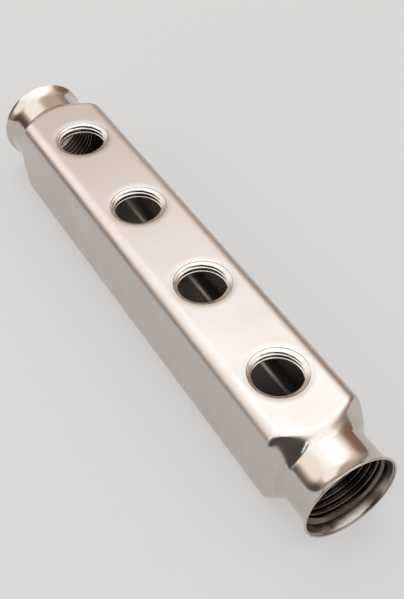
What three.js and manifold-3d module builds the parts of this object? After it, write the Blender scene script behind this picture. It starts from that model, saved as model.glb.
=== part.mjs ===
// A four-way stainless steel distribution manifold bar: a rounded-square tube with four tapped
// ports in a line along its top, closed down at both ends to a round threaded socket with a flared lip.
//
// The bar lies along X, its ports face +Z, and the origin is the middle of the bar on its axis.
// Pieces: the formed header shell, a threaded bush and its dressed weld ring at each port, and a
// threaded end socket with its weld fillet at each end. All threads are right-handed.

import * as THREE from "three";
import { mergeVertices } from "three/addons/utils/BufferGeometryUtils.js";
import Module from "manifold-3d";

const wasm = await Module();
wasm.setup();

// Driving dimensions, in millimetres.

const portCount = 4;
const portPitch = 50; // port centre to port centre
const portToLip = 44.5; // from the last port's centre to the lip face

const barWidth = 38; // across the flats, the same both ways
const barCornerRadius = 6;
const barWall = 1.5;

const neckLength = 14; // the round stretch at each end, lip included
const shoulderLength = 15.5; // over which the bar closes down to the neck
const shoulderOversize = 4.2; // how far the shoulder's form starts outside the bar's corners

// Parallel pipe threads, 14 and 11 turns to the inch.
const portThread = { majorRadius: 20.955 / 2, minorRadius: 18.631 / 2, pitch: 1.814 };
const endThread = { majorRadius: 33.249 / 2, minorRadius: 30.291 / 2, pitch: 2.309 };

const bushHeight = 5;
const bushWall = 1.2; // outside the thread's root
const portRimClearance = 0.4; // how far the port's lead-in opens past the thread's root
const portWeldWidth = 0.6;

const neckWall = 0.45; // outside the end thread's root
const socketLength = 23; // from the lip face to the socket's inner end
const flareLength = 8;
const flareRise = 1.7; // how far the lip stands out from the neck
const lipThickness = 0.9;
const mouthLength = 4.3; // smooth cone between the lip and the thread
const mouthClearance = 0.13; // between the thread's root and the narrow end of that cone
const endWeldLeg = 1.6;
const endWeldToe = 0.25; // thickness left where the fillet dies into the neck

const jointGap = 0.3; // between pieces that are welded or seated on each other

// Facets of the round surfaces.
const roundSegments = 32;
const cornerSegments = 5;
const shoulderSteps = 8;
const flareSteps = 5;

// Sizes that follow from the ones above.

const portSpan = (portCount - 1) * portPitch;
const halfLength = portSpan / 2 + portToLip;
const shoulderStart = halfLength - neckLength - shoulderLength;
const halfWidth = barWidth / 2;
const cornerReach = (halfWidth - barCornerRadius) * Math.SQRT2 + barCornerRadius;
const neckRadius = endThread.majorRadius + neckWall;
const shoulderRadius = cornerReach + shoulderOversize;
const seatRadius = neckRadius + jointGap; // bore of the shell's mouth, round the socket
const mouthRadius = seatRadius + barWall; // outside of the shell's mouth
const bushRadius = portThread.majorRadius + bushWall;
const portWeldInner = bushRadius + jointGap;
const portWeldOuter = portWeldInner + portWeldWidth;
const portHoleRadius = portWeldOuter + jointGap;

// Geometry helpers.

// A closed geometry as a solid for joining and cutting.
function solidOf(geometry) {
  const plain = geometry.index ? geometry.toNonIndexed() : geometry;
  const positions = new THREE.BufferGeometry();
  positions.setAttribute("position", plain.getAttribute("position"));
  const merged = mergeVertices(positions, 1e-4);
  const corners = merged.index.array;
  const triangles = [];
  for (let i = 0; i < corners.length; i += 3) {
    const [a, b, c] = [corners[i], corners[i + 1], corners[i + 2]];
    if (a !== b && b !== c && c !== a) triangles.push(a, b, c);
  }
  const vertices = merged.getAttribute("position").array;
  return new wasm.Manifold(
    new wasm.Mesh({ numProp: 3, vertProperties: vertices, triVerts: new Uint32Array(triangles) }),
  );
}

function geometryOf(solid) {
  const mesh = solid.getMesh();
  const geometry = new THREE.BufferGeometry();
  geometry.setAttribute("position", new THREE.BufferAttribute(mesh.vertProperties, 3));
  geometry.setIndex(new THREE.BufferAttribute(mesh.triVerts, 1));
  geometry.computeVertexNormals();
  return geometry;
}

// A profile of [radius, height] points turned about Z, or about X when height runs along X.
function turned(profile, axis = "z") {
  const points = profile.map(([radius, height]) => new THREE.Vector2(radius, height));
  const lathe = new THREE.LatheGeometry(points, roundSegments);
  return axis === "x" ? lathe.rotateZ(-Math.PI / 2) : lathe.rotateX(Math.PI / 2);
}

// A plain disc about Z between two heights.
function disc(radius, bottom, top) {
  return turned([[0, bottom], [radius, bottom], [radius, top], [0, top]]);
}

// A rounded square bar along X, centred on the origin.
function roundedBar(width, cornerRadius, length) {
  const half = width / 2;
  const core = half - cornerRadius;
  const outline = new THREE.Shape();
  outline.moveTo(core, -half);
  outline.absarc(core, -core, cornerRadius, -Math.PI / 2, 0);
  outline.absarc(core, core, cornerRadius, 0, Math.PI / 2);
  outline.absarc(-core, core, cornerRadius, Math.PI / 2, Math.PI);
  outline.absarc(-core, -core, cornerRadius, Math.PI, Math.PI * 1.5);
  outline.closePath();
  const bar = new THREE.ExtrudeGeometry(outline, {
    depth: length,
    bevelEnabled: false,
    curveSegments: cornerSegments,
  });
  return bar.translate(0, 0, -length / 2).rotateY(Math.PI / 2);
}

// The male form of a thread about Z, from height 0 up, solid to its axis. Its helical ends are
// ragged, so it is made long enough for both of them to lie outside the piece that it cuts.
function threadForm(thread, length) {
  const phases = [0, 1 / 6, 1 / 2, 2 / 3]; // crest, crest, root, root, as shares of the pitch
  const radii = [thread.minorRadius, thread.minorRadius, thread.majorRadius, thread.majorRadius];
  const perTurn = phases.length;
  const rows = Math.ceil(length / thread.pitch + 1) * perTurn;
  const positions = [];
  const point = (column, row) => {
    const turn = Math.floor(row / perTurn) + column / roundSegments;
    const angle = (2 * Math.PI * column) / roundSegments;
    const radius = radii[row % perTurn];
    const height = thread.pitch * (turn - 1 + phases[row % perTurn]);
    return [radius * Math.cos(angle), radius * Math.sin(angle), height];
  };
  // The last column meets the first one a whole turn further up.
  const at = (column, row) =>
    column < roundSegments ? point(column, row) : point(0, row + perTurn);
  const face = (...corners) => corners.forEach((corner) => positions.push(...corner));
  const foot = [0, 0, -2 * thread.pitch];
  const head = [0, 0, thread.pitch * (rows / perTurn + 1)];
  for (let column = 0; column < roundSegments; column++) {
    for (let row = 0; row < rows; row++) {
      face(at(column, row), at(column + 1, row), at(column + 1, row + 1));
      face(at(column, row), at(column + 1, row + 1), at(column, row + 1));
    }
    face(foot, at(column + 1, 0), at(column, 0));
    face(head, at(column, rows), at(column + 1, rows));
  }
  for (let row = 0; row < perTurn; row++) {
    face(foot, point(0, row), point(0, row + 1));
    face(head, point(0, rows + row + 1), point(0, rows + row));
  }
  const form = new THREE.BufferGeometry();
  form.setAttribute("position", new THREE.Float32BufferAttribute(positions, 3));
  return form;
}

// The smooth S from 0 to 1 that the shoulder's outline follows.
const easeInOut = (share) => share * share * (3 - 2 * share);

// The pieces.

// The solid inside the shell's outer or inner skin: the bar cut down by the shoulder's turned form.
function shellForm(inset, mouth, halfSpan) {
  const radiusAtStart = shoulderRadius - inset;
  const half = [];
  for (let step = 0; step <= shoulderSteps; step++) {
    const share = step / shoulderSteps;
    const radius = radiusAtStart + (neckRadius - inset - radiusAtStart) * easeInOut(share);
    half.push([Math.max(radius, mouth), shoulderStart + share * shoulderLength]);
  }
  half.push([mouth, halfLength]);
  const mirrored = half.map(([radius, x]) => [radius, -x]).reverse();
  const form = turned([[0, -halfLength], ...mirrored, ...half, [0, halfLength]], "x");
  const bar = roundedBar(barWidth - 2 * inset, barCornerRadius - inset, 2 * halfSpan);
  return solidOf(bar).intersect(solidOf(form));
}

// Where the shoulder's outline has come down to the outside of the shell's mouth.
function mouthPosition() {
  const share = (radius) => (shoulderRadius - radius) / (shoulderRadius - neckRadius);
  const wanted = share(mouthRadius);
  let [low, high] = [0, 1];
  for (let step = 0; step < 40; step++) {
    const middle = (low + high) / 2;
    if (easeInOut(middle) < wanted) low = middle;
    else high = middle;
  }
  return shoulderStart + low * shoulderLength;
}

const portPosition = (port) => port * portPitch - portSpan / 2;

function headerShell() {
  const outer = shellForm(0, neckRadius, mouthPosition());
  const passage = shellForm(barWall, seatRadius, halfLength);
  let shell = outer.subtract(passage);
  for (let port = 0; port < portCount; port++) {
    const hole = disc(portHoleRadius, 0, barWidth).translate(portPosition(port), 0, 0);
    shell = shell.subtract(solidOf(hole));
  }
  return geometryOf(shell);
}

// A bush about Z, tapped right through, its top face flush with the top of the bar. A 45 degree
// lead-in opens the thread at both ends.
function portBush() {
  const top = halfWidth;
  const bottom = top - bushHeight;
  const rim = portThread.majorRadius + portRimClearance;
  const thread = threadForm(portThread, bushHeight + 2 * portThread.pitch);
  const topLeadIn = turned([[0, top - rim], [rim + 1, top + 1], [0, top + 1]]);
  const bottomLeadIn = turned([
    [0, bottom - 1],
    [portThread.majorRadius + 1, bottom - 1],
    [0, bottom + portThread.majorRadius],
  ]);
  const bush = solidOf(disc(bushRadius, bottom, top))
    .subtract(solidOf(thread.translate(0, 0, bottom - portThread.pitch)))
    .subtract(solidOf(topLeadIn))
    .subtract(solidOf(bottomLeadIn));
  return geometryOf(bush);
}

// The full-depth weld that joins a bush to the shell, dressed flush with the top of the bar.
function portWeld() {
  const bottom = halfWidth - barWall;
  return turned([
    [portWeldInner, bottom],
    [portWeldOuter, bottom],
    [portWeldOuter, halfWidth],
    [portWeldInner, halfWidth],
    [portWeldInner, bottom],
  ]);
}

// The socket at the +X end: a plain neck, a lip that flares out to its end face, a smooth cone
// inside the lip, and a thread from there to the inner end.
function endSocket() {
  const inner = halfLength - socketLength;
  const flareStart = halfLength - flareLength;
  const lipRadius = neckRadius + flareRise;
  const mouthEnd = halfLength - mouthLength;
  const mouthEndRadius = endThread.majorRadius + mouthClearance;
  const outline = [[0, inner], [neckRadius, inner]];
  for (let step = 0; step <= flareSteps; step++) {
    const share = step / flareSteps;
    outline.push([neckRadius + flareRise * share ** 2, flareStart + flareLength * share]);
  }
  outline.push([lipRadius - lipThickness, halfLength], [mouthEndRadius, mouthEnd]);
  outline.push([0, mouthEnd - mouthEndRadius]);
  const thread = threadForm(endThread, socketLength + 2 * endThread.pitch);
  const socket = solidOf(turned(outline, "x")).subtract(
    solidOf(thread.rotateY(Math.PI / 2).translate(inner - endThread.pitch, 0, 0)),
  );
  return geometryOf(socket);
}

// The weld fillet in the corner between the shell's mouth and the neck of the socket.
function endWeld() {
  const start = mouthPosition() + jointGap;
  return turned(
    [
      [seatRadius, start],
      [mouthRadius, start],
      [seatRadius + endWeldToe, start + endWeldLeg],
      [seatRadius, start + endWeldLeg],
      [seatRadius, start],
    ],
    "x",
  );
}

// The assembly.

const stainless = (color, roughness) =>
  new THREE.MeshStandardMaterial({ color, roughness, metalness: 1 });
const brushedSteel = stainless(0xd8d2cb, 0.42);
const polishedSteel = stainless(0xe4dfd9, 0.18);
const machinedSteel = stainless(0xd5cfc8, 0.28);
const dressedWeld = stainless(0xdedad4, 0.34);

const manifold = new THREE.Group();

function add(name, geometry, material, x = 0, turn = 0) {
  const mesh = new THREE.Mesh(geometry, material);
  mesh.name = name;
  mesh.position.x = x;
  mesh.rotation.z = turn;
  manifold.add(mesh);
}

add("header_shell", headerShell(), brushedSteel);

const bush = portBush();
const ring = portWeld();
for (let port = 0; port < portCount; port++) {
  add(`port_bush_${port + 1}`, bush, machinedSteel, portPosition(port));
  add(`port_weld_${port + 1}`, ring, dressedWeld, portPosition(port));
}

// Both ends are the same pieces, the left one turned half a turn about Z.
const socket = endSocket();
const fillet = endWeld();
for (const [side, turn] of [["right", 0], ["left", Math.PI]]) {
  add(`end_socket_${side}`, socket, polishedSteel, 0, turn);
  add(`end_weld_${side}`, fillet, dressedWeld, 0, turn);
}

export default manifold;
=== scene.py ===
import math

import bmesh
import bpy
from bmesh.types import BMEdge, BMFace, BMVert
from bpy.props import FloatProperty, FloatVectorProperty, IntProperty, PointerProperty
from mathutils import Matrix, Vector


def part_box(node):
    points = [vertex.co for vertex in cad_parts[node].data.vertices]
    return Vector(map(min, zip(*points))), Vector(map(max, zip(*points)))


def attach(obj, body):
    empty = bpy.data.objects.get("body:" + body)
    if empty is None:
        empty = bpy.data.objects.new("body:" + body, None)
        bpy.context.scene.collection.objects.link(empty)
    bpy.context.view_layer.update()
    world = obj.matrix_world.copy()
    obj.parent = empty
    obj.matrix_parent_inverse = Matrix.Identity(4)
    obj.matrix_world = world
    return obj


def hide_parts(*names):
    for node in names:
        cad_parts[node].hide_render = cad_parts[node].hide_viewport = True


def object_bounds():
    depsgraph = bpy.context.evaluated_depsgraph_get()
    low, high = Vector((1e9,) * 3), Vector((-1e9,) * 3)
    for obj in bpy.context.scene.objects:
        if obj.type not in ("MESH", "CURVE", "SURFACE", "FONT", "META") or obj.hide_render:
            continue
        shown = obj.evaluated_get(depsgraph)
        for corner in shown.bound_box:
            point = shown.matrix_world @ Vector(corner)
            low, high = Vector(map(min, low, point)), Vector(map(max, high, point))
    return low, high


bl_info = {
    "name": "Manifold Bar",
    "version": (1, 0, 0),
    "blender": (4, 5, 0),
    "location": "3D View > Sidebar > Manifold Bar",
    "description": "A four-port stainless steel distribution bar with tapped ports and threaded ends",
    "category": "Add Mesh",
}

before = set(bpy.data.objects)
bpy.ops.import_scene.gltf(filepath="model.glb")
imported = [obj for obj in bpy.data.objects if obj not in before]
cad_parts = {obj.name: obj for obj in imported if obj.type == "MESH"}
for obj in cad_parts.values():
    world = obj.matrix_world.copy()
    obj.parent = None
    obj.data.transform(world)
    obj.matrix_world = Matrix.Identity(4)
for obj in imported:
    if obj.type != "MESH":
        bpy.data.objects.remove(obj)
CAD_BOX = [list(corner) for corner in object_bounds()]

MM = 0.001
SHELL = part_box("header_shell")
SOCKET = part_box("end_socket_right")
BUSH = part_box("port_bush_4")
PORT_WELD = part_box("port_weld_4")
HOLDS = 0.01 * MM  # how close two joined pieces come
SEAT_GAP = 0.3 * MM  # left round the neck where the sheet's mouth is placed
FLOOR_GAP = 0.05 * MM  # keeps the floor and the bar's underside from lying in one plane

# Divisions round the bar: each flat and each rounded corner, and so each port's circle.
FLAT_STEPS = 24
CORNER_STEPS = 12
RING_STEPS = 4 * (FLAT_STEPS + CORNER_STEPS)
CIRCLE_STEPS = 4 * FLAT_STEPS
SHOULDER_STATIONS = 28  # divisions along each shoulder
BETWEEN_PORTS = 4 * MM  # from one division to the next, midway between two ports
LEAST_SPACING = 0.05 * MM  # of any two divisions along the bar
PORT_CUTS = 10  # rows of faces between a port's square window and its round rim
PORT_WINDOW = 15 * MM  # half the side of that window
THREAD_ROWS = 24  # points on each turn of a thread's outline
THREAD_STEPS = 144

MERGE = 0.001 * MM  # points closer than this are one point
THREAD_MERGE = 0.002 * MM
SHARP_ANGLE = 35  # degrees past which two faces meet in a sharp line
ENDS = ((1, "right"), (-1, "left"))

PORT_THREAD_PHASE = 0.82  # where in a turn each thread's outline begins
END_THREAD_PHASE = 0.2
PORT_LEAD_IN = 0.6 * MM  # depth of the cone that opens each thread
END_LEAD_IN = 1.2 * MM
TAP_TURN = 11  # degrees from one port's thread start to the next
RIM_DEPTH = 0.08 * MM  # how far a port thread's upper rim lies under the sheet
FOOT_OPENING = 0.5 * MM  # how far the lower end of a port's thread opens
FOOT_CHAMFER = 0.3 * MM  # on the hidden end of each bush and socket
# Distance out from a port's rim and depth under the sheet, in mm: a rounded rim, then a fine groove.
RIM_OUTLINE = ((0.05, 0.02), (0.1, 0), (0.2, 0.25), (0.32, 0.25), (0.4, 0))
MOUTH_CURVE = 1.3  # how late the mouth and the flare open: 1 is a straight cone
FLARE_CURVE = 3
LIP_EDGE = 0.25 * MM  # rounding of the lip
WELD_TOE = 0.2 * MM  # from the end weld's thin edge to the start of the neck

# Most of a noise pattern's values lie between these two.
NOISE_LOW = 0.3
NOISE_HIGH = 0.7

FLOOR_REACH = 6.0  # metres from the middle to the floor's edge
FLOOR_ROUGHNESS = 0.85
SENSOR_WIDTH = 36


def length(name, description, default):
    return FloatProperty(
        name=name, description=description, default=default, min=0.0, precision=5, subtype="DISTANCE", unit="LENGTH"
    )


def share(name, description, default):
    return FloatProperty(name=name, description=description, default=default, min=0.0, max=1.0)


def strength(name, description, default):
    return FloatProperty(name=name, description=description, default=default, min=0.0)


def power(name, description, default):
    return FloatProperty(name=name, description=description, default=default, min=0.0, unit="POWER")


def angle(name, description, degrees):
    return FloatProperty(name=name, description=description, default=math.radians(degrees), subtype="ANGLE")


def colour(name, description, default):
    return FloatVectorProperty(
        name=name, description=description, default=from_hex(default), size=3, min=0.0, max=1.0, subtype="COLOR"
    )


def from_hex(code):
    """An sRGB hex colour as linear red, green and blue."""
    channels = [int(code[i : i + 2], 16) / 255 for i in (1, 3, 5)]
    return [c / 12.92 if c <= 0.04045 else ((c + 0.055) / 1.055) ** 2.4 for c in channels]


def opaque(code):
    return (*from_hex(code), 1)


class BarSizes(bpy.types.PropertyGroup):
    """The formed bar and its ports"""

    width: length("Width", "Across the flats of the bar", SHELL[1].z - SHELL[0].z)
    corner_radius: length("Corner radius", "Outside radius of the bar's long edges", 6 * MM)
    wall: length("Wall", "Thickness of the formed sheet", 1.5 * MM)
    half_length: length("Half length", "From the middle to a lip's face", SOCKET[1].x)
    neck_length: length("Neck length", "Round stretch at each end", 14 * MM)
    shoulder_length: length("Shoulder length", "Over which the bar closes down to the neck", 15.5 * MM)
    shoulder_oversize: length("Shoulder oversize", "How far the shoulder starts outside the corners", 4.2 * MM)
    shoulder_blend: length("Shoulder blend", "Softness of the line between flat and shoulder", 1.3 * MM)
    port_count: IntProperty(name="Ports", description="Tapped ports along the top", default=4, min=1, max=12)
    port_pitch: length("Port pitch", "From one port's centre to the next", 50 * MM)
    dish_radius: length("Dish radius", "Where the sheet starts to roll into a port", 13.8 * MM)
    dish_depth: length("Dish depth", "How far the rim lies under the flat", 0.22 * MM)


class ThreadSizes(bpy.types.PropertyGroup):
    """The threaded pieces"""

    port_major: length("Port major radius", "Root of the port's thread", 20.955 / 2 * MM)
    port_minor: length("Port minor radius", "Crest of the port's thread", 18.631 / 2 * MM)
    port_turn: length("Port thread pitch", "14 turns to the inch", 1.814 * MM)
    port_rim: length("Port rim radius", "Widest part of the lead-in", 10.9 * MM)
    end_major: length("End major radius", "Root of the end's thread", 33.249 / 2 * MM)
    end_minor: length("End minor radius", "Crest of the end's thread", 30.291 / 2 * MM)
    end_turn: length("End thread pitch", "11 turns to the inch", 2.309 * MM)
    neck_radius: length("Neck radius", "Outside of the socket", 17.0745 * MM)
    flare_length: length("Flare length", "Over which the neck opens to the lip", 8 * MM)
    lip_radius: length("Lip radius", "Outside of the lip", SOCKET[1].z)
    lip_thickness: length("Lip thickness", "Width of the lip's face", 0.9 * MM)
    mouth_length: length("Mouth length", "Smooth cone inside the lip", 4.3 * MM)
    mouth_radius: length("Mouth radius", "Narrow end of that cone", 16.755 * MM)


class SteelFinish(bpy.types.PropertyGroup):
    """Colours and polish of the steel"""

    satin_steel: colour("Satin steel", "Belt-finished stainless sheet", "#D4CBC6")
    bright_steel: colour("Bright steel", "Buffed stainless steel", "#CFC7C0")
    mill_steel: colour("Mill steel", "Inside of the sheet", "#A39C97")
    # Painted shade: the end sockets' tapped steel is a much darker copy of the cut steel, standing in for the shade
    # deep in their bores.
    shaded_cut_steel: colour("Shaded cut steel", "Tapped stainless steel in the end sockets", "#756B64")
    mouth_steel: colour("Mouth steel", "Turned cone inside each lip", "#AAA29B")
    cut_steel: colour("Cut steel", "Tapped stainless steel", "#D2CBC5")
    weld_steel: colour("Weld steel", "Ground-back weld bead", "#CEC6C0")
    satin_roughness: share("Satin roughness", "Of the belt-finished faces", 0.33)
    bright_roughness: share("Bright roughness", "Of the buffed shoulders and necks", 0.13)
    mill_roughness: share("Mill roughness", "Inside of the sheet", 0.36)
    cut_roughness: share("Cut roughness", "Of the threads", 0.2)


class StudioSet(bpy.types.PropertyGroup):
    """Floor, light and camera"""

    floor: colour("Floor", "Matt pale board", "#6D6D6C")
    floor_glow: strength("Floor glow", "Light that the board gives back, to soften its shadows", 0.455)
    room_light: strength("Room light", "Strength of the room's own light", 1.8)
    window_light: power("Window light", "The soft light above and behind the bar", 1.5)
    fill_light: power("Fill light", "The soft light from the left", 9.0)
    strip_light: power("Strip light", "The narrow light that the near neck mirrors", 0.22)
    azimuth: angle("Azimuth", "Camera turned round the bar", 59.56)
    elevation: angle("Elevation", "Camera above the horizon", 46.93)
    roll: angle("Roll", "Camera turned about its own axis", -0.75)
    distance: length("Distance", "Camera to target", 367.3 * MM)
    target: FloatVectorProperty(
        name="Target", description="What the camera looks at", default=(0.03239, -0.00474, 0.01888), size=3,
        subtype="TRANSLATION", unit="LENGTH",
    )
    lens: FloatProperty(name="Lens", description="Focal length in millimetres", default=60.71)


class ManifoldSettings(bpy.types.PropertyGroup):
    """All settings of the bar"""

    bar: PointerProperty(type=BarSizes)
    thread: PointerProperty(type=ThreadSizes)
    finish: PointerProperty(type=SteelFinish)
    studio: PointerProperty(type=StudioSet)


# Shapes.


def smooth_step(value):
    value = min(max(value, 0.0), 1.0)
    return value * value * (3 - 2 * value)


def port_positions(bar):
    first = -(bar.port_count - 1) * bar.port_pitch / 2
    return [first + port * bar.port_pitch for port in range(bar.port_count)]


def shoulder_start(bar):
    return bar.half_length - bar.neck_length - bar.shoulder_length


def shoulder_radius(settings, x):
    """Radius of the turned form that the bar is closed down to, at a distance x from the middle."""
    bar, neck = settings.bar, settings.thread.neck_radius
    core = bar.width / 2 - bar.corner_radius
    widest = core * math.sqrt(2) + bar.corner_radius + bar.shoulder_oversize
    return widest + (neck - widest) * smooth_step((abs(x) - shoulder_start(bar)) / bar.shoulder_length)


def mouth_position(settings):
    """Where the shoulder has come down to the sheet's thickness round the neck."""
    bar = settings.bar
    wanted = settings.thread.neck_radius + SEAT_GAP + bar.wall
    low, high = shoulder_start(bar), bar.half_length
    for _ in range(40):
        middle = (low + high) / 2
        if shoulder_radius(settings, middle) > wanted:
            low = middle
        else:
            high = middle
    return low


def section_point(bar, step):
    """The point at one division round the bar's section, counted from the middle of the top flat."""
    side, along = divmod(step + FLAT_STEPS // 2, FLAT_STEPS + CORNER_STEPS)
    core = bar.width / 2 - bar.corner_radius
    if along <= FLAT_STEPS:
        y, z = core * (2 * along / FLAT_STEPS - 1), bar.width / 2
    else:
        turn = math.pi / 2 * (along - FLAT_STEPS) / CORNER_STEPS
        y, z = core + bar.corner_radius * math.sin(turn), core + bar.corner_radius * math.cos(turn)
    for _ in range(side % 4):
        y, z = z, -y
    return y, z


def press(settings, vert):
    """Moves a point of the turned form in to the bar's section, and returns how much of the shoulder it keeps."""
    bar = settings.bar
    step = round(math.atan2(vert.co.y, vert.co.z) / math.tau * RING_STEPS) % RING_STEPS
    y, z = section_point(bar, step)
    flat, turned, blend = math.hypot(y, z), shoulder_radius(settings, vert.co.x), bar.shoulder_blend
    radius = min(flat, turned) - max(blend - abs(flat - turned), 0) ** 2 / (4 * blend)
    vert.co.y, vert.co.z = y / flat * radius, z / flat * radius
    return smooth_step((flat - turned) / blend + 0.5)


def dish_drop(bar, thread, distance):
    """How far the sheet lies under the flat, at a distance from a port's axis."""
    inward = (bar.dish_radius - distance) / (bar.dish_radius - thread.port_rim)
    return bar.dish_depth * max(inward, 0.0) ** 2


def outline(bm, points):
    """A line through (radius, height) points beside the Z axis."""
    verts = [bm.verts.new((0, 0, 0)) for _ in points]
    for vert, (radius, height) in zip(verts, points):
        vert.co = (radius, 0, height)
    edges = [bm.edges.new(pair) for pair in zip(verts, verts[1:])]
    return verts + edges


def turn_ring(bm, points, steps):
    """A closed outline spun about Z."""
    geom = outline(bm, points)
    geom.append(bm.edges.new((geom[len(points) - 1], geom[0])))
    bmesh.ops.spin(bm, geom=geom, cent=(0, 0, 0), axis=(0, 0, 1), angle=math.tau, steps=steps, use_merge=True)
    bmesh.ops.remove_doubles(bm, verts=bm.verts, dist=MERGE)
    bmesh.ops.recalc_face_normals(bm, faces=bm.faces)


def thread_depth(phase):
    """Rounded thread form, 1 at the root and 0 at the crest."""
    wave = abs(4 * (phase % 1) - 2) - 1
    return 0.5 + 0.5 * math.sin(math.pi / 2 * min(max(1.2 * wave, -1), 1))


def open_edges(bm, height):
    return [e for e in bm.edges if e.is_boundary and all(abs(v.co.z - height) < THREAD_MERGE for v in e.verts)]


def of_kind(kind, geom):
    return [each for each in geom if isinstance(each, kind)]


def carry_on(bm, edges, points):
    """Draws a round open edge out through (radius, height) points."""
    for radius, height in points:
        drawn = bmesh.ops.extrude_edge_only(bm, edges=edges)["geom"]
        edges = of_kind(BMEdge, drawn)
        for vert in of_kind(BMVert, drawn):
            scale = radius / math.hypot(vert.co.x, vert.co.y)
            vert.co = (vert.co.x * scale, vert.co.y * scale, height)
    return edges


def tapped_piece(bm, radii, pitch, phase, ends, rims, lead_in, outside, foot):
    """A bush or socket about Z. Its bore is tapped between two heights, with a lead-in of a given
    depth at the upper rim and a 45 degree one at the lower, and its outside runs from the upper rim
    round to the foot."""
    minor, major = radii
    low, high = ends
    spread = (rims[1] - minor) / lead_in
    rows = math.ceil((high - low) / pitch + 3) * THREAD_ROWS
    line = []
    for row in range(rows + 1):
        depth = thread_depth(row / THREAD_ROWS + phase)
        line.append((minor + (major - minor) * depth, low - 1.5 * pitch + row * pitch / THREAD_ROWS))
    geom = outline(bm, line)
    rise = (0, 0, pitch / THREAD_STEPS)
    bmesh.ops.spin(bm, geom=geom, cent=(0, 0, 0), axis=(0, 0, 1), dvec=rise, angle=math.tau, steps=THREAD_STEPS)
    bmesh.ops.remove_doubles(bm, verts=bm.verts, dist=THREAD_MERGE)
    for height, side in ((high, "clear_outer"), (low, "clear_inner")):
        everything = bm.verts[:] + bm.edges[:] + bm.faces[:]
        bmesh.ops.bisect_plane(
            bm, geom=everything, dist=MERGE, plane_co=(0, 0, height), plane_no=(0, 0, 1), **{side: True}
        )
    for vert in bm.verts:
        radius = math.hypot(vert.co.x, vert.co.y)
        opened = max(radius, rims[1] - (high - vert.co.z) * spread, rims[0] - (vert.co.z - low))
        vert.co.x, vert.co.y = vert.co.x * opened / radius, vert.co.y * opened / radius
    upper, lower = open_edges(bm, high), open_edges(bm, low)
    upper = carry_on(bm, upper, outside)
    lower = carry_on(bm, lower, foot)
    bmesh.ops.bridge_loops(bm, edges=upper + lower)
    bmesh.ops.recalc_face_normals(bm, faces=bm.faces)


def to_end(bm, side):
    """Lays a piece made about Z along the bar, at its right (1) or left (-1) end."""
    turn = Matrix.Rotation(math.pi / 2, 4, "Y")
    if side < 0:
        turn = Matrix.Rotation(math.pi, 4, "Z") @ turn
    bmesh.ops.transform(bm, matrix=turn, verts=bm.verts)


def finished(context, bm, name, materials):
    """Makes a piece's object from its mesh, and puts it in the place of its CAD node."""
    if bm.calc_volume(signed=True) < 0:  # a thin ring can come out inside out
        bmesh.ops.reverse_faces(bm, faces=bm.faces)
    mesh = bpy.data.meshes.new(name)
    bm.to_mesh(mesh)
    bm.free()
    mesh.shade_smooth()
    mesh.set_sharp_from_angle(angle=math.radians(SHARP_ANGLE))
    for material in materials:
        mesh.materials.append(material)
    piece = bpy.data.objects.new("formed_" + name, mesh)
    context.scene.collection.objects.link(piece)
    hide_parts(name)
    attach(piece, "root")
    return piece


# Materials.


def add(tree, kind, settings=None, **inputs):
    """Adds a node with its settings, and fills its inputs with values or links."""
    node = tree.nodes.new("ShaderNode" + kind)
    for name, value in (settings or {}).items():
        setattr(node, name, value)
    for name, value in inputs.items():
        socket = node.inputs[int(name[1:])] if name[1:].isdigit() else node.inputs[name.replace("_", " ")]
        if isinstance(value, bpy.types.NodeSocket):
            tree.links.new(value, socket)
        else:
            socket.default_value = value
    return node


def new_material(name):
    material = bpy.data.materials.get(name)
    if material:
        return material, None
    material = bpy.data.materials.new(name)
    material.use_nodes = True
    material.node_tree.nodes.clear()
    return material, material.node_tree


def steel_surface(tree, base, tint, roughness, height, depth):
    """A stainless surface from its colour, how far it varies, its roughness and its relief."""
    bump = add(tree, "Bump", Strength=1.0, Distance=depth, Height=height)
    dull = add(tree, "Mix", {"data_type": "RGBA"}, _0=tint, _6=(*base, 1), _7=(*[0.9 * c for c in base], 1))
    shader = add(
        tree, "BsdfPrincipled", Metallic=1.0, Roughness=roughness, Normal=bump.outputs[0], Base_Color=dull.outputs[2]
    )
    add(tree, "OutputMaterial", Surface=shader.outputs[0])


def satin_stainless(finish):
    """304 stainless sheet, belt-finished along the bar, and buffed bright on its shoulders.
    The fine lines blur what it mirrors, more along the flats than on the shoulders."""
    material, tree = new_material("satin_stainless")
    if tree:
        place = add(tree, "TexCoord").outputs["Object"]
        # 0.05 mm belt lines, drawn 0.35 mm apart so that they show, and some 40 mm long.
        lines_at = add(tree, "Mapping", Vector=place, Scale=(25, 2800, 2800)).outputs[0]
        lines = add(tree, "TexNoise", Vector=lines_at, Scale=1.0, Detail=3.0, Roughness=0.6).outputs[0]
        # Handling marks a centimetre or two across.
        smears = add(tree, "TexNoise", Vector=place, Scale=70.0, Detail=3.0, Roughness=0.5).outputs[0]
        polish = add(tree, "Attribute", {"attribute_name": "shoulder_polish"}).outputs["Fac"]
        satin = add(
            tree, "MapRange", Value=smears, From_Min=NOISE_LOW, From_Max=NOISE_HIGH,
            To_Min=finish.satin_roughness - 0.03, To_Max=finish.satin_roughness + 0.03,
        ).outputs[0]
        rough = add(tree, "Mix", _0=polish, _2=satin, _3=finish.bright_roughness).outputs[0]
        relief = add(tree, "MapRange", Value=polish, To_Min=1.0, To_Max=0.15).outputs[0]
        height = add(tree, "Math", {"operation": "MULTIPLY"}, _0=lines, _1=relief).outputs[0]
        steel_surface(tree, finish.satin_steel, smears, rough, height, 0.004 * MM)
    return material


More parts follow.
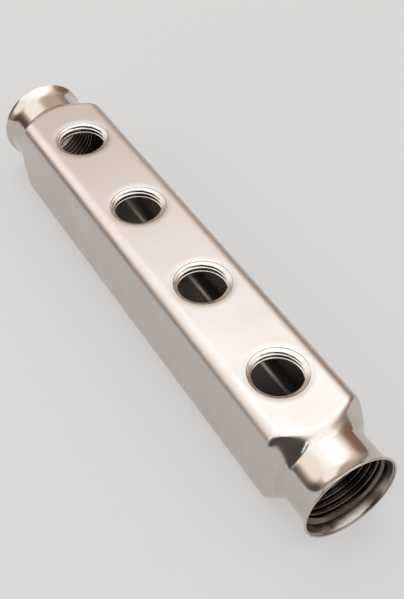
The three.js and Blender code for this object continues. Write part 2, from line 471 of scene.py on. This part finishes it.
def mill_stainless(finish):
    """304 stainless sheet as it left the mill, inside the bar: greyer than the outside, unbrushed."""
    material, tree = new_material("mill_stainless")
    if tree:
        place = add(tree, "TexCoord").outputs["Object"]
        # A rolled grain about 0.3 mm across, drawn twice as coarse.
        grain = add(tree, "TexNoise", Vector=place, Scale=1600.0, Detail=2.0).outputs[0]
        smears = add(tree, "TexNoise", Vector=place, Scale=90.0, Detail=3.0).outputs[0]
        rough = add(
            tree, "MapRange", Value=smears, From_Min=NOISE_LOW, From_Max=NOISE_HIGH,
            To_Min=finish.mill_roughness - 0.02, To_Max=finish.mill_roughness + 0.02,
        ).outputs[0]
        steel_surface(tree, finish.mill_steel, smears, rough, grain, 0.0008 * MM)
    return material


def bright_stainless(finish):
    """304 stainless tube, buffed on a lathe: a near-mirror with faint rings round the neck."""
    material, tree = new_material("bright_stainless")
    if tree:
        place = add(tree, "TexCoord").outputs["Object"]
        # 0.1 mm polishing rings, drawn 0.4 mm apart.
        rings_at = add(tree, "Mapping", Vector=place, Scale=(2500, 12, 12)).outputs[0]
        rings = add(tree, "TexNoise", Vector=rings_at, Scale=1.0, Detail=2.0).outputs[0]
        smears = add(tree, "TexNoise", Vector=place, Scale=120.0, Detail=3.0).outputs[0]
        rough = add(
            tree, "MapRange", Value=smears, From_Min=NOISE_LOW, From_Max=NOISE_HIGH,
            To_Min=finish.bright_roughness - 0.03, To_Max=finish.bright_roughness + 0.04,
        ).outputs[0]
        steel_surface(tree, finish.bright_steel, smears, rough, rings, 0.001 * MM)
    return material


def turned_stainless(finish, name, tone, axis):
    """304 stainless bar, tapped or turned about one axis: the tool leaves fine lines round the bore."""
    material, tree = new_material(name)
    if tree:
        place = add(tree, "TexCoord").outputs["Object"]
        # 0.1 mm tool lines, drawn 0.3 mm apart.
        scale = [3300 if each == axis else 20 for each in "XYZ"]
        lines_at = add(tree, "Mapping", Vector=place, Scale=scale).outputs[0]
        lines = add(tree, "TexNoise", Vector=lines_at, Scale=1.0, Detail=2.0).outputs[0]
        smears = add(tree, "TexNoise", Vector=place, Scale=300.0, Detail=2.0).outputs[0]
        rough = add(
            tree, "MapRange", Value=smears, From_Min=NOISE_LOW, From_Max=NOISE_HIGH,
            To_Min=finish.cut_roughness - 0.05, To_Max=finish.cut_roughness + 0.06,
        ).outputs[0]
        steel_surface(tree, tone, smears, rough, lines, 0.012 * MM)
    return material


def dressed_weld(finish, name, roughness):
    """Fusion weld ground back flush and blended in: even, with a little of the bead's waviness left."""
    material, tree = new_material(name)
    if tree:
        place = add(tree, "TexCoord").outputs["Object"]
        # The bead's ripples are about 1.5 mm apart, nearly ground away.
        ripples = add(tree, "TexNoise", Vector=place, Scale=650.0, Detail=1.0).outputs[0]
        rough = add(
            tree, "MapRange", Value=ripples, From_Min=NOISE_LOW, From_Max=NOISE_HIGH,
            To_Min=roughness - 0.03, To_Max=roughness + 0.03,
        ).outputs[0]
        steel_surface(tree, finish.weld_steel, ripples, rough, ripples, 0.003 * MM)
    return material


# The pieces.


class MANIFOLD_OT_header_shell(bpy.types.Operator):
    """Make the formed header shell, with a dished opening at each port"""

    bl_idname = "manifold.header_shell"
    bl_label = "Header Shell"
    bl_options = {"REGISTER", "UNDO"}

    def execute(self, context):
        settings = context.scene.manifold_bar
        bar, thread = settings.bar, settings.thread
        half = bar.width / 2
        mouth = mouth_position(settings)
        start = shoulder_start(bar)
        ports = port_positions(bar)

        # Stations along the bar: close together on the shoulders and at the ports, wide between them.
        clear = max(start, ports[-1] + PORT_WINDOW)
        stations = [clear + step * (mouth - clear) / SHOULDER_STATIONS for step in range(SHOULDER_STATIONS + 1)]
        stations += [-x for x in stations]
        for x in ports:
            stations += [x + PORT_WINDOW * (2 * step / FLAT_STEPS - 1) for step in range(FLAT_STEPS + 1)]
        for before, after in zip(ports, ports[1:]):
            stations += [(before + after) / 2 + offset for offset in (-BETWEEN_PORTS, 0, BETWEEN_PORTS)]
        stations = sorted({round(x, 7) for x in stations})
        stations = [x for x, after in zip(stations, stations[1:] + [math.inf]) if after - x > LEAST_SPACING]

        bm = bmesh.new()
        geom = outline(bm, [(shoulder_radius(settings, x), x) for x in stations])
        bmesh.ops.spin(bm, geom=geom, cent=(0, 0, 0), axis=(0, 0, 1), angle=math.tau, steps=RING_STEPS, use_merge=True)
        to_end(bm, 1)
        polish = bm.verts.layers.float.new("shoulder_polish")
        for vert in bm.verts:
            vert[polish] = press(settings, vert)

        # Each port: a square window in the flat, with rows of faces drawn in from it to a round rim.
        for x in ports:
            inside = []
            for face in bm.faces:
                middle = face.calc_center_median()
                if middle.z > half - MERGE and abs(middle.x - x) < PORT_WINDOW:
                    inside.append(face)
            chosen = set(inside)
            rim = [e for e in bm.edges if len(chosen.intersection(e.link_faces)) == 1]
            bmesh.ops.delete(bm, geom=inside, context="FACES")
            circle = of_kind(BMVert, bmesh.ops.extrude_edge_only(bm, edges=rim)["geom"])
            for vert in circle:
                scale = (PORT_WELD[1].y + HOLDS) / math.hypot(vert.co.x - x, vert.co.y)
                vert.co.x, vert.co.y = x + (vert.co.x - x) * scale, vert.co.y * scale
            on_circle = set(circle)
            spokes = [e for v in circle for e in v.link_edges if e.other_vert(v) not in on_circle]
            bmesh.ops.subdivide_edges(bm, edges=spokes, cuts=PORT_CUTS, use_grid_fill=True)
        for vert in bm.verts:
            if vert.co.z > 0:
                near = min(math.hypot(vert.co.x - x, vert.co.y) for x in ports)
                vert.co.z -= dish_drop(bar, thread, near)
        bmesh.ops.recalc_face_normals(bm, faces=bm.faces)

        # The inside of the sheet is a copy moved in by the wall, held clear of the sockets.
        copied = bmesh.ops.duplicate(bm, geom=bm.verts[:] + bm.edges[:] + bm.faces[:])["geom"]
        bm.normal_update()
        seat = thread.neck_radius + HOLDS
        for vert in of_kind(BMVert, copied):
            vert.co -= vert.normal * bar.wall
            radius = math.hypot(vert.co.y, vert.co.z)
            if abs(vert.co.x) > start and radius < seat:
                vert.co.y, vert.co.z = vert.co.y * seat / radius, vert.co.z * seat / radius
        inner = of_kind(BMFace, copied)
        bmesh.ops.reverse_faces(bm, faces=inner)
        for face in inner:
            face.material_index = 1
        open_rims = [e for e in bm.edges if e.is_boundary]
        for x in ports:
            bmesh.ops.bridge_loops(bm, edges=[e for e in open_rims if abs(e.verts[0].co.x - x) < PORT_WINDOW])
        for side in (-1, 1):
            bmesh.ops.bridge_loops(bm, edges=[e for e in open_rims if side * e.verts[0].co.x > clear])
        materials = [satin_stainless(settings.finish), mill_stainless(settings.finish)]
        finished(context, bm, "header_shell", materials)
        return {"FINISHED"}


class MANIFOLD_OT_port_bushes(bpy.types.Operator):
    """Make a tapped bush at each port"""

    bl_idname = "manifold.port_bushes"
    bl_label = "Port Bushes"
    bl_options = {"REGISTER", "UNDO"}

    def execute(self, context):
        settings = context.scene.manifold_bar
        bar, thread = settings.bar, settings.thread
        top, foot = bar.width / 2, BUSH[0].z
        outer, rim = BUSH[1].y - HOLDS, thread.port_rim

        def under_sheet(radius, depth=0.0):
            return radius, top - dish_drop(bar, thread, radius) - depth

        lip = top - dish_drop(bar, thread, rim) - RIM_DEPTH
        outside = [under_sheet(rim + out * MM, depth * MM) for out, depth in RIM_OUTLINE]
        outside += [under_sheet(outer), (outer, foot + FOOT_CHAMFER)]
        bush = bmesh.new()
        tapped_piece(
            bush, (thread.port_minor, thread.port_major), thread.port_turn, PORT_THREAD_PHASE, (foot, lip),
            (thread.port_minor + FOOT_OPENING, rim), PORT_LEAD_IN, outside, [(outer - FOOT_CHAMFER, foot)],
        )
        material = turned_stainless(settings.finish, "tapped_port_stainless", settings.finish.cut_steel, "Z")
        for port, x in enumerate(port_positions(bar)):
            bm = bush.copy()
            start = Matrix.Rotation(math.radians(TAP_TURN * port), 3, "Z")  # each thread starts where its tap did
            bmesh.ops.rotate(bm, cent=(0, 0, 0), matrix=start, verts=bm.verts)
            bmesh.ops.translate(bm, vec=(x, 0, 0), verts=bm.verts)
            finished(context, bm, f"port_bush_{port + 1}", [material])
        bush.free()
        return {"FINISHED"}


class MANIFOLD_OT_port_welds(bpy.types.Operator):
    """Make the dressed weld round each port bush"""

    bl_idname = "manifold.port_welds"
    bl_label = "Port Welds"
    bl_options = {"REGISTER", "UNDO"}

    def execute(self, context):
        settings = context.scene.manifold_bar
        bar, thread = settings.bar, settings.thread
        top = bar.width / 2
        inner, outer = BUSH[1].y, PORT_WELD[1].y
        profile = [(inner, top - bar.wall), (outer, top - bar.wall)]
        steps = 6
        for step in range(steps + 1):
            radius = outer + (inner - outer) * step / steps
            profile.append((radius, top - dish_drop(bar, thread, radius)))
        material = dressed_weld(settings.finish, "dressed_port_weld", settings.finish.satin_roughness)
        for port, x in enumerate(port_positions(bar)):
            bm = bmesh.new()
            turn_ring(bm, profile, CIRCLE_STEPS)
            bmesh.ops.translate(bm, vec=(x, 0, 0), verts=bm.verts)
            finished(context, bm, f"port_weld_{port + 1}", [material])
        return {"FINISHED"}


class MANIFOLD_OT_end_sockets(bpy.types.Operator):
    """Make the tapped socket with a flared lip at each end"""

    bl_idname = "manifold.end_sockets"
    bl_label = "End Sockets"
    bl_options = {"REGISTER", "UNDO"}

    def execute(self, context):
        settings = context.scene.manifold_bar
        thread = settings.thread
        tip, foot = settings.bar.half_length, SOCKET[0].x
        neck, lip = thread.neck_radius, thread.lip_radius
        inner_lip = lip - thread.lip_thickness
        entry = tip - thread.mouth_length

        # From the thread out through the smooth mouth, over the lip and back along the neck to the foot.
        outside = []
        mouth_steps = 9
        for step in range(1, mouth_steps):
            along = step / mouth_steps
            radius = thread.mouth_radius + (inner_lip - LIP_EDGE - thread.mouth_radius) * along**MOUTH_CURVE
            outside.append((radius, entry + (thread.mouth_length - LIP_EDGE) * along))
        # The lip's two edges: each rounding's centre and radius, and the degrees that it turns through.
        inner_edge = (inner_lip + 0.2 * MM, 0.3 * MM, 200, 90)
        outer_edge = (lip - LIP_EDGE, LIP_EDGE, 90, 0)
        for centre, radius, first, last in (inner_edge, outer_edge):
            for step in range(5):
                turn = math.radians(first + (last - first) * step / 4)
                outside.append((centre + radius * math.cos(turn), tip - radius + radius * math.sin(turn)))
        flare_steps = 24
        for step in range(1, flare_steps + 1):
            opened = (1 - step / flare_steps) ** FLARE_CURVE
            height = tip - LIP_EDGE - (thread.flare_length - LIP_EDGE) * step / flare_steps
            outside.append((neck + (lip - neck) * opened, height))
        outside += [(neck, tip - thread.flare_length - back * MM) for back in (0.5, 3, 6, 9)]
        outside.append((neck, foot + FOOT_CHAMFER))
        socket = bmesh.new()
        tapped_piece(
            socket, (thread.end_minor, thread.end_major), thread.end_turn, END_THREAD_PHASE, (foot, entry),
            (thread.end_major, thread.mouth_radius), END_LEAD_IN, outside, [(neck - FOOT_CHAMFER, foot)],
        )
        for face in socket.faces:
            middle = face.calc_center_median()
            if face.normal.xy.dot(middle.xy) < 0:  # the bore: its thread, or the mouth
                face.material_index = 1 if middle.z < entry else 2
        finish = settings.finish
        materials = [
            bright_stainless(finish),
            # The end threads get the darker steel: painted shade for the inside of the bore.
            turned_stainless(finish, "shaded_tapped_end_stainless", finish.shaded_cut_steel, "X"),
            turned_stainless(finish, "turned_mouth_stainless", finish.mouth_steel, "X"),
        ]
        for side, name in ENDS:
            bm = socket.copy()
            to_end(bm, side)
            finished(context, bm, f"end_socket_{name}", materials)
        socket.free()
        return {"FINISHED"}


class MANIFOLD_OT_end_welds(bpy.types.Operator):
    """Make the dressed weld that runs the shoulder out on to each neck"""

    bl_idname = "manifold.end_welds"
    bl_label = "End Welds"
    bl_options = {"REGISTER", "UNDO"}

    def execute(self, context):
        settings = context.scene.manifold_bar
        neck = settings.thread.neck_radius
        mouth = mouth_position(settings) + HOLDS
        toe = settings.bar.half_length - settings.bar.neck_length - WELD_TOE
        steps = 16
        over = [mouth + (toe - mouth) * step / steps for step in range(steps + 1)]
        profile = [(shoulder_radius(settings, x), x) for x in over]
        profile += [(neck + HOLDS, x) for x in (toe, (mouth + toe) / 2, mouth)]
        material = dressed_weld(settings.finish, "dressed_end_weld", settings.finish.bright_roughness)
        for side, name in ENDS:
            bm = bmesh.new()
            turn_ring(bm, profile, RING_STEPS)
            to_end(bm, 1)
            for vert in bm.verts:
                if math.hypot(vert.co.y, vert.co.z) > neck + 2 * HOLDS:
                    press(settings, vert)
            if side < 0:
                bmesh.ops.rotate(bm, cent=(0, 0, 0), matrix=Matrix.Rotation(math.pi, 3, "Z"), verts=bm.verts)
            finished(context, bm, f"end_weld_{name}", [material])
        return {"FINISHED"}


# The stage.


def set_tones(ramp, *stops):
    """Gives a colour ramp its stops, as positions with hex colours. A new ramp has two."""
    for index, (position, tone) in enumerate(stops):
        stop = ramp.elements[index] if index < 2 else ramp.elements.new(position)
        stop.position, stop.color = position, opaque(tone)


def in_direction(tree, towards, around, inside, centre, edge):
    """Colours the room round one direction (azimuth, elevation), out to a soft edge, all in degrees."""
    turn, rise = (math.radians(angle) for angle in centre)
    axis = (math.cos(rise) * math.cos(turn), math.cos(rise) * math.sin(turn), math.sin(rise))
    facing = add(tree, "VectorMath", {"operation": "DOT_PRODUCT"}, _0=towards, _1=axis).outputs["Value"]
    full, end = (math.cos(math.radians(angle)) for angle in edge)
    mask = add(tree, "MapRange", {"interpolation_type": "SMOOTHSTEP"}, Value=facing, From_Min=end, From_Max=full)
    return add(tree, "Mix", {"data_type": "RGBA"}, _0=mask.outputs[0], _6=around, _7=inside).outputs[2]


def light_card(context, name, tone, watts, size, towards, distance, aim=(0, 0, 0), mirrored=False):
    """A soft rectangular light that faces the bar from one direction."""
    data = bpy.data.lights.new(name, "AREA")
    data.shape = "RECTANGLE"
    data.size, data.size_y = size
    data.color = from_hex(tone)
    data.energy = watts
    card = bpy.data.objects.new(name, data)
    context.scene.collection.objects.link(card)
    towards = Vector(towards).normalized()
    card.location = Vector(aim) + towards * distance
    card.rotation_euler = towards.to_track_quat("Z", "Y").to_euler()
    card.visible_glossy = mirrored


class MANIFOLD_OT_studio(bpy.types.Operator):
    """Make the floor, the lights and the camera"""

    bl_idname = "manifold.studio"
    bl_label = "Studio"
    bl_options = {"REGISTER", "UNDO"}

    def execute(self, context):
        studio = context.scene.manifold_bar.studio
        scene = context.scene

        bm = bmesh.new()
        bmesh.ops.create_grid(bm, x_segments=2, y_segments=2, size=FLOOR_REACH)
        bmesh.ops.translate(bm, vec=(0, 0, CAD_BOX[0][2] - FLOOR_GAP), verts=bm.verts)
        mesh = bpy.data.meshes.new("floor")
        bm.to_mesh(mesh)
        bm.free()
        board, tree = new_material("matt_board")
        if tree:
            shader = add(
                tree, "BsdfPrincipled", Base_Color=(*studio.floor, 1), Roughness=FLOOR_ROUGHNESS,
                Emission_Color=opaque("#FFFEFD"), Emission_Strength=studio.floor_glow,
            )
            add(tree, "OutputMaterial", Surface=shader.outputs[0])
        mesh.materials.append(board)
        floor = bpy.data.objects.new("floor", mesh)
        scene.collection.objects.link(floor)

        # The room that the steel mirrors: white overhead, beige lower down and darker to the floor.
        world = bpy.data.worlds.new("room")
        world.use_nodes = True
        tree = world.node_tree
        tree.nodes.clear()
        towards = add(tree, "TexCoord").outputs["Generated"]
        up = add(tree, "SeparateXYZ", Vector=towards).outputs["Z"]
        tones = add(tree, "ValToRGB", Fac=up)
        set_tones(
            tones.color_ramp, (0, "#756A60"), (0.2, "#8A7E74"), (0.36, "#A6988B"), (0.5, "#BDAEA1"),
            (0.62, "#D2C8BD"), (0.72, "#ECEBE8"), (0.82, "#F4F8F8"),
        )
        wall = add(tree, "ValToRGB", Fac=up)
        set_tones(wall.color_ramp, (0, "#6A5A4E"), (0.36, "#7C6051"), (0.63, "#A08A7D"))
        room = tones.outputs[0]
        for inside, centre, edge in (
            (wall.outputs[0], (98, 14), (20, 33)),  # a brown wall behind the bar
            (opaque("#EDE8E3"), (-160, 36), (14, 22)),  # a white wall past the left end
            (opaque("#E9E2DA"), (-108, 40), (14, 27)),  # another on the left
            (opaque("#A99889"), (166, 27), (8, 22)),  # a beige one behind the left end
            (opaque("#4E4138"), (-131, 0), (13, 24)),  # a dark cabinet low on the left
            (opaque("#413D3B"), (-50, 20), (28, 40)),  # the unlit corner where the camera stands
        ):
            room = in_direction(tree, towards, room, inside, centre, edge)
        # A bluish glow overhead, on top of the rest.
        overhead = in_direction(tree, towards, (0, 0, 0, 1), opaque("#798693"), (136, 72), (12, 28))
        both = add(tree, "VectorMath", {"operation": "ADD"}, _0=room, _1=overhead).outputs[0]
        glow = add(tree, "Background", Color=both, Strength=studio.room_light)
        # Seen directly, the room is one pale backdrop.
        backdrop = add(tree, "Background", Color=opaque("#D6D5D2"), Strength=1.0)
        seen = add(tree, "LightPath").outputs["Is Camera Ray"]
        room = add(tree, "MixShader", _0=seen, _1=glow.outputs[0], _2=backdrop.outputs[0])
        add(tree, "OutputWorld", Surface=room.outputs[0])
        scene.world = world

        light_card(context, "window", "#FFFDFB", studio.window_light, (0.9, 0.9), (-0.30, 0.45, 0.84), 1.4)
        near_neck = (0.1, 0, 0)
        light_card(
            context, "strip", "#E4F0FF", studio.strip_light, (0.5, 0.06), (0.53, -0.47, 0.71), 0.9,
            near_neck, mirrored=True,
        )
        light_card(context, "fill", "#F8FAFF", studio.fill_light, (1.4, 1.0), (0.1, -0.85, 0.5), 1.4)

        camera = bpy.data.objects.new("camera", bpy.data.cameras.new("camera"))
        scene.collection.objects.link(camera)
        camera.data.lens = studio.lens
        camera.data.sensor_width = SENSOR_WIDTH
        around, above = studio.azimuth, studio.elevation
        back = Vector((math.sin(around) * math.cos(above), -math.cos(around) * math.cos(above), math.sin(above)))
        camera.rotation_mode = "QUATERNION"
        camera.location = Vector(studio.target) + back * studio.distance
        level = (-back).to_track_quat("-Z", "Y").to_matrix()
        camera.rotation_quaternion = (Matrix.Rotation(studio.roll, 3, back) @ level).to_quaternion()
        camera.data.clip_start, camera.data.clip_end = 0.01, 50
        scene.camera = camera
        scene.view_settings.view_transform = "Standard"
        return {"FINISHED"}


class MANIFOLD_PT_bar(bpy.types.Panel):
    """Sizes, finish and pieces of the manifold bar"""

    bl_idname = "MANIFOLD_PT_bar"
    bl_label = "Manifold Bar"
    bl_space_type = "VIEW_3D"
    bl_region_type = "UI"
    bl_category = "Manifold Bar"

    def draw(self, context):
        settings = context.scene.manifold_bar
        for group in (settings.bar, settings.thread, settings.finish, settings.studio):
            box = self.layout.box()
            for name in group.__annotations__:
                box.prop(group, name)
        for operator in OPERATORS:
            self.layout.operator(operator.bl_idname)


OPERATORS = (
    MANIFOLD_OT_header_shell,
    MANIFOLD_OT_port_bushes,
    MANIFOLD_OT_port_welds,
    MANIFOLD_OT_end_sockets,
    MANIFOLD_OT_end_welds,
    MANIFOLD_OT_studio,
)
CLASSES = (BarSizes, ThreadSizes, SteelFinish, StudioSet, ManifoldSettings, *OPERATORS, MANIFOLD_PT_bar)


def register():
    for each in CLASSES:
        bpy.utils.register_class(each)
    bpy.types.Scene.manifold_bar = PointerProperty(type=ManifoldSettings)


def unregister():
    del bpy.types.Scene.manifold_bar
    for each in reversed(CLASSES):
        bpy.utils.unregister_class(each)


def main():
    register()
    bpy.ops.manifold.studio()
    bpy.ops.manifold.header_shell()
    bpy.ops.manifold.port_bushes()
    bpy.ops.manifold.port_welds()
    bpy.ops.manifold.end_sockets()
    bpy.ops.manifold.end_welds()


if __name__ == "__main__":
    main()
